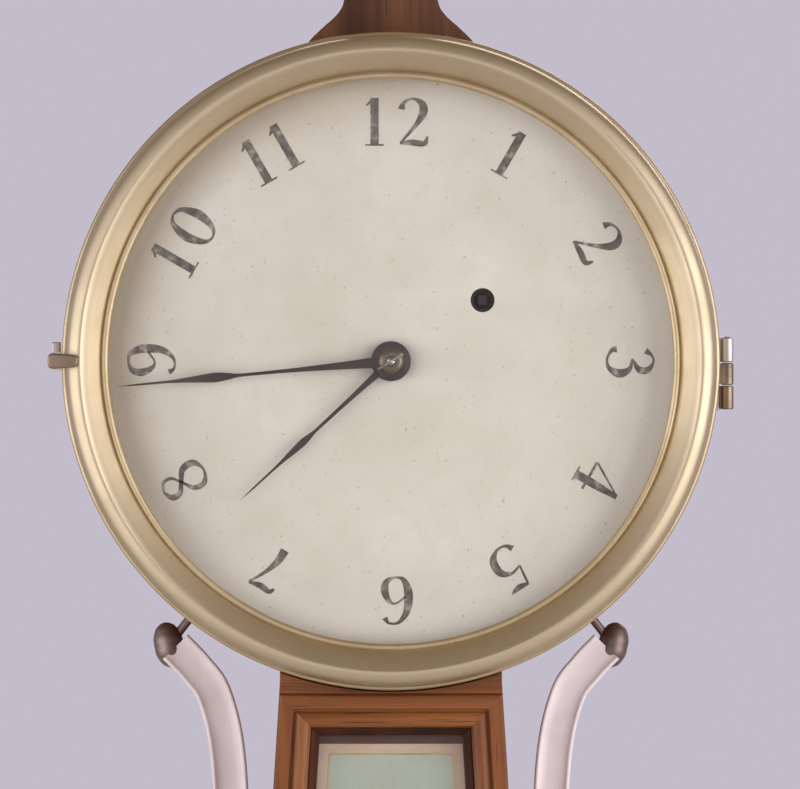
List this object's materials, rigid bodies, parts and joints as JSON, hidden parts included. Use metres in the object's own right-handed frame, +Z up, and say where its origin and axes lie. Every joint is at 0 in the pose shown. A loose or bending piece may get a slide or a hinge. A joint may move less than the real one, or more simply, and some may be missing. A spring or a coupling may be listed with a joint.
{
  "type": "banjo wall clock",
  "caption": "Weight-driven pendulum wall clock with a round glazed dial, tapering throat, curved side brackets and a lower box with a door.",
  "frame": {"origin": "on the wall plane (the back face of the backboard), behind the centre of the dial", "axes": "+Z up, front faces -Y, +X to the right as seen from the front"},
  "size_m": [0.2601, 0.1133, 0.84],
  "materials": {
    "mahogany": "french polished red-brown mahogany",
    "pine": "plain aged pine",
    "brass": "lacquered brass",
    "bezel_brass": "aged spun brass, olive bronze patina",
    "pale_brass": "pale polished brass",
    "dark_bronze": "dark tarnished bronze",
    "steel": "bright steel",
    "blued_steel": "dark blued steel",
    "dial_paint": "aged off-white enamel paint on iron",
    "painted_glass": "reverse painted glass",
    "clear_glass": "clear domed glass",
    "tin": "tinned sheet",
    "iron": "dark cast iron",
    "gut_cord": "twisted cord"
  },
  "bodies": {
    "case": {"backboard": "pine", "hanger_plate": "steel", "head_ring": "mahogany", "finial_plinth": "mahogany", "finial": "brass", "throat_side_left": "mahogany", "throat_side_right": "mahogany", "throat_frame": "mahogany", "throat_tablet": "painted_glass", "weight_baffle": "tin", "box_top": "mahogany", "box_bottom": "mahogany", "box_side_left": "mahogany", "box_side_right": "mahogany", "sidearm_left": "pale_brass", "sidearm_right": "pale_brass", "dial": "dial_paint", "bezel_hinge": "brass", "door_hinge_upper_case_leaf": "brass", "door_hinge_lower_case_leaf": "brass", "back_plate": "brass", "front_plate": "brass", "pillar_1": "brass", "pillar_2": "brass", "pillar_3": "brass", "pillar_4": "brass", "suspension_bridge": "brass", "weight_cord": "gut_cord"},
    "bezel": {"bezel": "bezel_brass", "dial_glass": "clear_glass"},
    "catch": {"bezel_catch": "dark_bronze"},
    "door": {"door_frame": "mahogany", "door_tablet": "painted_glass", "door_hinge_upper_door_leaf": "brass", "door_hinge_lower_door_leaf": "brass"},
    "latch": {"door_latch": "brass"},
    "great": {"great_wheel": "brass", "click_spring": "steel"},
    "click": {"click": "steel"},
    "winder": {"barrel": "brass", "winding_arbor": "steel"},
    "centre": {"centre_arbor": "steel", "centre_wheel": "brass", "cannon_pinion": "steel", "minute_hand": "blued_steel", "hand_collet": "blued_steel"},
    "third": {"third_arbor": "steel", "third_wheel": "brass"},
    "escape": {"escape_wheel": "brass"},
    "motion": {"minute_wheel": "brass"},
    "hour": {"hour_wheel": "brass", "hour_hand": "blued_steel"},
    "anchor": {"anchor": "steel", "crutch": "steel"},
    "pendulum": {"suspension_spring": "steel", "pendulum_rod": "brass"},
    "bob": {"pendulum_bob": "brass"},
    "rating": {"rating_nut": "brass"},
    "weight": {"weight": "iron"},
    "pulley": {"pulley": "brass"}
  },
  "joints": [
    {"name": "minute_hand_turn", "type": "hinge", "parent": "case", "child": "centre", "pos_m": [0, -0.06, 0], "axis": [0, 1, 0], "continuous": true},
    {"name": "great_wheel_turn", "type": "hinge", "parent": "case", "child": "great", "pos_m": [0.0333, -0.0376, 0.0222], "axis": [0, 1, 0], "continuous": true},
    {"name": "third_wheel_turn", "type": "hinge", "parent": "case", "child": "third", "pos_m": [-0.01349, -0.032, 0.01687], "axis": [0, 1, 0], "continuous": true},
    {"name": "escape_wheel_turn", "type": "hinge", "parent": "case", "child": "escape", "pos_m": [-0.01, -0.0267, 0.033], "axis": [0, 1, 0], "continuous": true},
    {"name": "minute_wheel_turn", "type": "hinge", "parent": "case", "child": "motion", "pos_m": [-0.00717, -0.051, -0.01024], "axis": [0, 1, 0], "continuous": true},
    {"name": "hour_hand_turn", "type": "hinge", "parent": "case", "child": "hour", "pos_m": [0, -0.07, 0], "axis": [0, 1, 0], "continuous": true},
    {"name": "winding", "type": "hinge", "parent": "great", "child": "winder", "pos_m": [0.0333, -0.03, 0.0222], "axis": [0, 1, 0], "range_deg": [0, 5760]},
    {"name": "weight_rise", "type": "slide", "parent": "case", "child": "weight", "axis": [0, 0, 1], "range_m": [0, 0.3769], "deforming": ["weight_cord"]},
    {"name": "pulley_turn", "type": "hinge", "parent": "weight", "child": "pulley", "pos_m": [0.002, -0.0285, -0.478], "axis": [0, 1, 0], "range_deg": [-1990, 0]},
    {"name": "click_drop", "type": "hinge", "parent": "great", "child": "click", "pos_m": [0.04764, -0.0352, 0.03467], "axis": [0, 1, 0], "range_deg": [0, 4]},
    {"name": "pendulum_swing", "type": "hinge", "parent": "case", "child": "pendulum", "pos_m": [0, -0.062, 0.04926], "axis": [0, 1, 0], "range_deg": [-2.2, 2.2]},
    {"name": "anchor_rock", "type": "hinge", "parent": "case", "child": "anchor", "pos_m": [0, -0.0267, 0.04926], "axis": [0, 1, 0], "range_deg": [-2.2, 2.2]},
    {"name": "bob_slide", "type": "slide", "parent": "pendulum", "child": "bob", "axis": [0, 0, 1], "range_m": [-0.0016, 0.0016]},
    {"name": "rating_nut_turn", "type": "hinge", "parent": "bob", "child": "rating", "pos_m": [0, -0.062, -0.563], "axis": [0, 0, 1], "range_deg": [-720, 720]},
    {"name": "bezel_swing", "type": "hinge", "parent": "case", "child": "bezel", "pos_m": [0.1223, -0.0845, 0], "axis": [0, 0, 1], "range_deg": [0, 110]},
    {"name": "bezel_catch_turn", "type": "hinge", "parent": "bezel", "child": "catch", "pos_m": [-0.1218, -0.09, 0], "axis": [0, 1, 0], "range_deg": [0, 90]},
    {"name": "door_swing", "type": "hinge", "parent": "case", "child": "door", "pos_m": [0.1309, -0.09015, -0.53], "axis": [0, 0, 1], "range_deg": [0, 110]},
    {"name": "door_latch_turn", "type": "hinge", "parent": "door", "child": "latch", "pos_m": [-0.1135, -0.095, -0.53], "axis": [0, -1, 0], "range_deg": [0, 90]}
  ],
  "couplings": [
    {"joint": "great_wheel_turn", "follows": "minute_hand_turn", "ratio": -0.083333},
    {"joint": "third_wheel_turn", "follows": "minute_hand_turn", "ratio": -8},
    {"joint": "escape_wheel_turn", "follows": "minute_hand_turn", "ratio": 80},
    {"joint": "minute_wheel_turn", "follows": "minute_hand_turn", "ratio": -0.33333},
    {"joint": "hour_hand_turn", "follows": "minute_hand_turn", "ratio": 0.083333},
    {"joint": "anchor_rock", "follows": "pendulum_swing", "ratio": 1},
    {"joint": "winding", "follows": "weight_rise", "rad_per_m": 266.67},
    {"joint": "pulley_turn", "follows": "weight_rise", "rad_per_m": -91.733},
    {"joint": "rating_nut_turn", "follows": "bob_slide", "rad_per_m": 7850}
  ]
}
